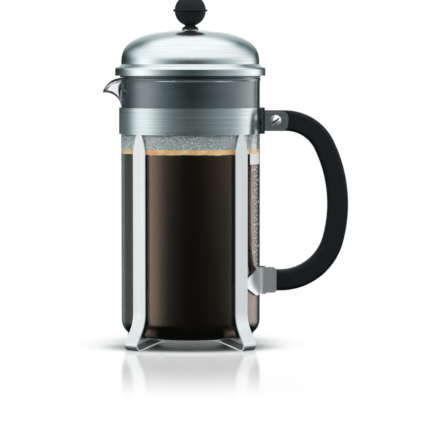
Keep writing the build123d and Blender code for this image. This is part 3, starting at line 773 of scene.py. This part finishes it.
def steel_finish(name, colour, roughness, grain, groove, spread=0.0, metal=1.0, shaded_bends=None):
    """Bare metal with a grain: noise stretched by the three numbers of grain, per metre.

    The shine of a grain that runs round the axis is spread upright, by the share in spread. Between the
    two places along X given for the bends, where the sheet is bent tight, painted shade darkens the
    metal.
    """
    s = Shader(bpy.data.materials.new(name))
    place = s.place()
    x, y, z = s.parts(place)
    fine = s.noise(s.vector(x * grain[0], y * grain[1], z * grain[2]), 1, 3)
    broad = s.noise(place, CLOUDS, 2)
    dull = tuple(STREAK * part for part in colour)
    streak = s.ramp(fine, [(0.3, 0), (0.7, 1)], "LINEAR")
    tone = s.mix(streak, (*dull, 1), (*colour, 1))
    if shaded_bends:
        # Painted shade: dark metal is mixed into the tone between the bends.
        rise = s.rise(x, shaded_bends[0] - BEND_SHADE_FADE, shaded_bends[0] + BEND_SHADE_FADE)
        fall = s.rise(x, shaded_bends[1], shaded_bends[1] + BEND_SHADE_FADE)
        tone = s.mix(rise * (1 - fall), tone, BEND_PAINTED_SHADE)
    bump = s.bump(fine, groove, 0.0001)
    return s.surface({
        "Base Color": tone,
        "Metallic": metal,
        "Roughness": roughness + 0.08 * (fine - 0.5) + 0.06 * (broad - 0.5),
        "Anisotropic": spread,
        "Anisotropic Rotation": 0.25,
        "Normal": bump,
    })


collar_steel = steel_finish("brushed_steel_collar", *BAND_FINISH, shaded_bends=COLLAR_BEND_SHADE)
band_steel = steel_finish("brushed_steel_round", *BAND_FINISH)
leg_steel = steel_finish(
    "brushed_steel_long", (0.84, 0.875, 0.88), 0.33, (1200, 1200, 14), 0.05, metal=0.8)

give(nodes["collar_band"], collar_steel)
give(nodes["base_plate"], band_steel)
for name in ("leg_front_left", "leg_rear_left", "leg_front_right", "leg_rear_right"):
    give(nodes[name], leg_steel)


# Handle --------------------------------------------------------------------------------------------
# Moulded in black polypropylene. A slotted bolt and a nut hold its top between the collar's ears, and
# its foot sits between the cheeks of the two right legs.


def black_plastic():
    """Matt black moulding with a fine even grain."""
    s = Shader(bpy.data.materials.new("moulded_black"))
    place = s.place()
    grain = s.noise(place, 2600, 2)
    cloud = s.noise(place, 40, 2)
    colour = s.mix(cloud, (0.0075, 0.0100, 0.0115, 1), (0.0100, 0.0130, 0.0150, 1))
    bump = s.bump(grain, 0.25, 0.00004)
    return s.surface({
        "Base Color": colour,
        "Roughness": 0.52 + 0.06 * (cloud - 0.5),
        "Specular IOR Level": 0.15,
        "Normal": bump,
    })


handle_black = black_plastic()
give(nodes["handle"], handle_black)

SLOT_TURN = radians(37)
SLOT_HALF = 0.5 * MM
SLOT_DEEP = 1.2 * MM
SLOT_PAINTED_SHADE = (0.02, 0.02, 0.02, 1)

bolt_low, bolt_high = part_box("handle_bolt")
BOLT_X = (bolt_low.x + bolt_high.x) / 2
BOLT_Z = (bolt_low.z + bolt_high.z) / 2


def bolt_finish():
    """Polished steel with painted shade in the slot, where |x sin a - z cos a| is small and y is at the
    head.
    """
    s = Shader(bpy.data.materials.new("bolt_chrome"))
    place = s.place()
    x, y, z = s.parts(place)
    aside = (x - BOLT_X) * sin(SLOT_TURN) - (z - BOLT_Z) * cos(SLOT_TURN)
    across = s.maths("LESS_THAN", s.maths("ABSOLUTE", aside), SLOT_HALF)
    head = s.maths("LESS_THAN", y, bolt_low.y + SLOT_DEEP)
    speck = s.noise(place, 900, 2)
    bright = s.mix(speck, (0.86, 0.88, 0.88, 1), (0.98, 1.0, 1.0, 1))
    return s.surface({
        # Painted shade: the slot is coloured dark where it lies in the head.
        "Base Color": s.mix(across * head, bright, SLOT_PAINTED_SHADE),
        "Metallic": 0.6,
        "Roughness": 0.2 + 0.05 * speck,
    })


bolt_steel = bolt_finish()
for name in ("handle_bolt", "handle_nut"):
    give(nodes[name], bolt_steel)


# Lid -----------------------------------------------------------------------------------------------
# The dome is spun from stainless sheet, with its rim turned down, and polished on the lathe. A grey
# liner is pressed into it and hangs down inside the glass.

dome_steel = steel_finish("spun_steel", (0.77, 0.83, 0.835), 0.19, (25, 25, 1500), 0.03)
liner_grey = steel_finish("liner_satin_grey", (0.145, 0.185, 0.195), 0.30, (30, 30, 400), 0.03)
turned_steel = steel_finish("turned_steel", (0.74, 0.77, 0.78), 0.2, (200, 200, 3000), 0.05)

give(nodes["lid_dome"], dome_steel)
give(nodes["lid_liner"], liner_grey)
for name in ("lid_bush", "bush_nut", "plunger_rod", "filter_hub", "filter_nut"):
    give(nodes[name], turned_steel)


# Plunger -------------------------------------------------------------------------------------------
# A ball knob, moulded on a threaded brass insert, screws onto the rod. At its foot a hub and a nut
# clamp the filter: a pierced spiral plate on top, the woven mesh, and a cross plate below.

give(nodes["knob"], handle_black)
give(nodes["knob_insert"], steel_finish("turned_brass", (0.75, 0.52, 0.22), 0.25, (200, 200, 3000), 0.1))
for name in ("spiral_plate", "cross_plate"):
    give(nodes[name], band_steel)


# Edge spring ---------------------------------------------------------------------------------------
# A long coil of thin stainless wire, its ends hooked into each other, runs round the spiral plate's
# edge and presses the mesh to the glass.

WIRE_R = 0.28 * MM
WIRE_PITCH = 0.9 * MM
WIRE_SIDES = 6
WIRE_STEPS = 10

spring_low, spring_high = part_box("edge_spring")
COIL_R = (spring_high.z - spring_low.z) / 2
SPRING_R = spring_high.x - COIL_R
SPRING_Z = (spring_high.z + spring_low.z) / 2


def make_edge_spring():
    """Wire along a helix bent into a ring.

    At angle a round the ring and angle b = turns * a round the coil the wire's middle has the radius
    R + c cos b and the height h + c sin b. Its own section is a circle across the wire's direction.
    """
    turns = round(2 * pi * SPRING_R / WIRE_PITCH)
    a = np.linspace(0, 2 * pi, turns * WIRE_STEPS, endpoint=False)
    b = turns * a
    coil_r = COIL_R - WIRE_R
    out = np.stack([np.cos(a), np.sin(a), np.zeros_like(a)], axis=1)
    up = np.array([0, 0, 1])
    lean = out * np.cos(b)[:, None] + up * np.sin(b)[:, None]
    middle = out * SPRING_R + up * SPRING_Z + coil_r * lean
    ahead = np.roll(middle, -1, axis=0) - np.roll(middle, 1, axis=0)
    ahead /= np.linalg.norm(ahead, axis=1, keepdims=True)
    across = np.cross(ahead, lean)
    side = np.linspace(0, 2 * pi, WIRE_SIDES, endpoint=False)[:, None]
    ring = np.cos(side) * lean[:, None] + np.sin(side) * across[:, None]
    return skin("edge_spring_coil", middle[:, None] + WIRE_R * ring, "ring", 180)


spring_steel = steel_finish("spring_wire_steel", (0.72, 0.76, 0.77), 0.25, (900, 900, 900), 0.02)
give(make_edge_spring(), spring_steel, "plunger", ["edge_spring"])


# Filter mesh ---------------------------------------------------------------------------------------
# Fine stainless cloth, woven from 0.2 mm wire and pressed into a shallow cup, whose standing edge
# takes small flutes where the cloth is gathered.

MESH_PITCH = 0.55 * MM
MESH_SHEET = 0.3 * MM
MESH_CORNER = 1.0 * MM
MESH_HOLE_R = 3.0 * MM
FLUTES = 72
FLUTE_DEPTH = 0.22 * MM
FLUTE_COLUMNS = 10

mesh_low, mesh_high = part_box("filter_mesh")
MESH_R = mesh_high.x


def make_filter_mesh():
    """Cup of even thickness: a flat ring, a corner arc and a fluted wall.

    The wall's radius gets depth * rise^2 * (cos(flutes * a) - 1), so the flutes grow towards the edge
    and stay inside it.
    """
    half = MESH_SHEET / 2
    middle_r = MESH_R - half
    low = mesh_low.z + half
    top = mesh_high.z
    middle = np.concatenate([
        line((MESH_HOLE_R, low), (middle_r - MESH_CORNER, low), 24),
        arc((middle_r - MESH_CORNER, low + MESH_CORNER), MESH_CORNER, -90, 0, 8)[:-1],
        line((middle_r, low + MESH_CORNER), (middle_r, top), 10),
        [(middle_r, top)],
    ])
    turn = np.linspace(0, 2 * pi, FLUTES * FLUTE_COLUMNS, endpoint=False)
    rise = np.clip((middle[:, 1:] - low) / (top - low), 0, 1)
    flute = FLUTE_DEPTH * rise ** 2 * (np.cos(FLUTES * turn) - 1)
    slope = np.gradient(middle, axis=0)
    slope /= np.linalg.norm(slope, axis=1, keepdims=True)
    sides = []
    for way in (1, -1):
        radius = middle[:, :1] + flute + way * half * slope[:, 1:]
        height = middle[:, 1:] - way * half * slope[:, :1] + np.zeros_like(flute)
        sides.append(np.stack([radius * np.cos(turn), radius * np.sin(turn), height], axis=2)[::way])
    return skin("filter_mesh_cup", np.concatenate(sides), "ring", 50)


def mesh_finish():
    """Woven steel cloth: bright wires each way, dark holes between.

    A wave of the mesh's pitch runs each way: along X and Y on the flat, and round and up the edge.
    """
    s = Shader(bpy.data.materials.new("woven_steel_cloth"))
    x, y, z = s.parts(s.place())
    along_edge = s.maths("ARCTAN2", y, x) * MESH_R
    standing = s.maths("GREATER_THAN", z, mesh_low.z + MESH_CORNER)
    waves = []
    for place in (x + (along_edge - x) * standing, y + (z - y) * standing):
        wave = s.maths("SINE", place * (2 * pi / MESH_PITCH))
        waves.append(wave * 0.5 + 0.5)
    weave = s.maths("MAXIMUM", *waves)
    wire = s.ramp(weave, [(0.45, 0), (0.8, 1)], "LINEAR")
    colour = s.mix(wire, (0.05, 0.05, 0.05, 1), (0.70, 0.74, 0.75, 1))
    bump = s.bump(weave, 0.6, 0.0002)
    return s.surface({
        "Base Color": colour,
        "Metallic": 0.9,
        "Roughness": 0.38 - 0.1 * weave,
        "Normal": bump,
    })


give(make_filter_mesh(), mesh_finish(), "plunger", ["filter_mesh"])
